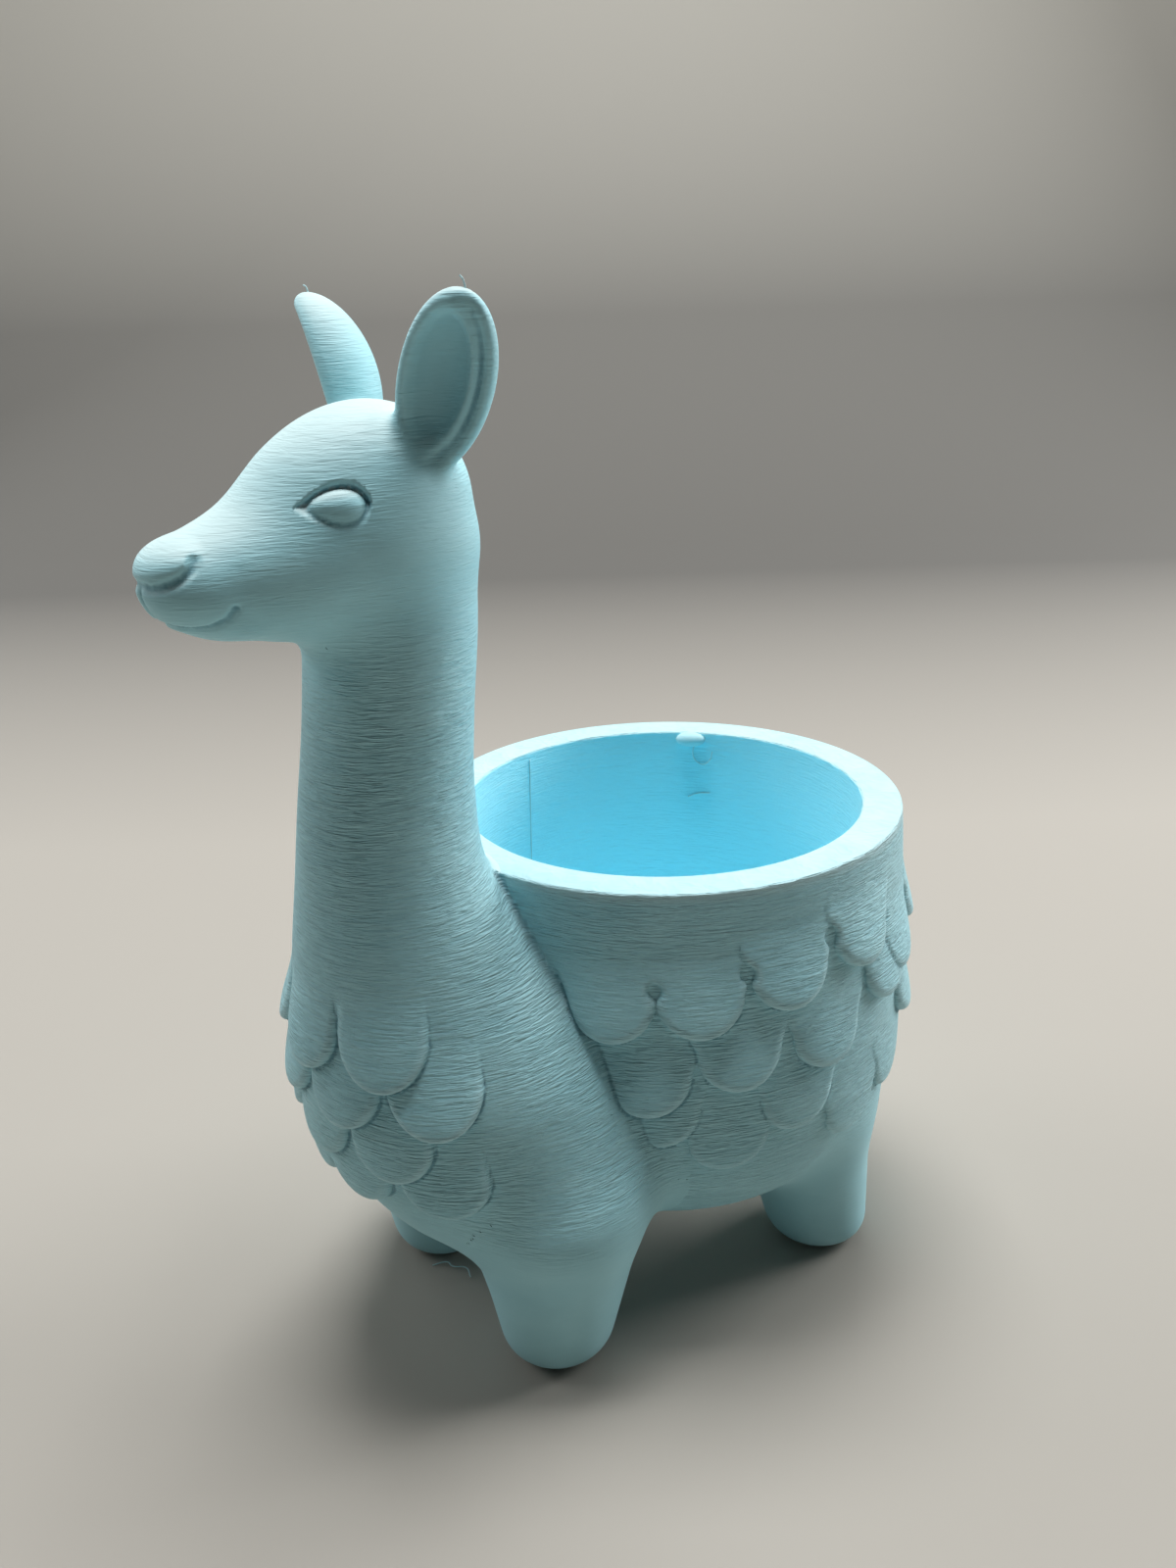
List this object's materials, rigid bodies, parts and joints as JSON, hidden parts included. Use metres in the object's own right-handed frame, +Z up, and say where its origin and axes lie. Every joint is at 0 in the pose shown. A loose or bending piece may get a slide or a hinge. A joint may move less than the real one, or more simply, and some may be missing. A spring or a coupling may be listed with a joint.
{
  "type": "animal shaped planter",
  "caption": "Long-necked standing animal on four short legs whose round body is an open plant pot, with scalloped fleece on flank and breast.",
  "frame": {"origin": "on the ground under the middle of the overall length and width", "axes": "+Z up, the animal looks along -Y, its left side is +X"},
  "size_m": [0.0888, 0.1316, 0.1724],
  "materials": {
    "matte_print": "matte, with fine level streaks from the layers of the print"
  },
  "bodies": {
    "root": {"pot_shell": "matte_print", "chest": "matte_print", "neck": "matte_print", "head": "matte_print", "muzzle": "matte_print", "nose_pad": "matte_print", "left_eye": "matte_print", "right_eye": "matte_print", "left_ear": "matte_print", "right_ear": "matte_print", "left_front_leg": "matte_print", "right_front_leg": "matte_print", "left_rear_leg": "matte_print", "right_rear_leg": "matte_print", "upper_locks": "matte_print", "middle_locks": "matte_print", "lower_locks": "matte_print", "chest_locks": "matte_print"}
  },
  "joints": []
}
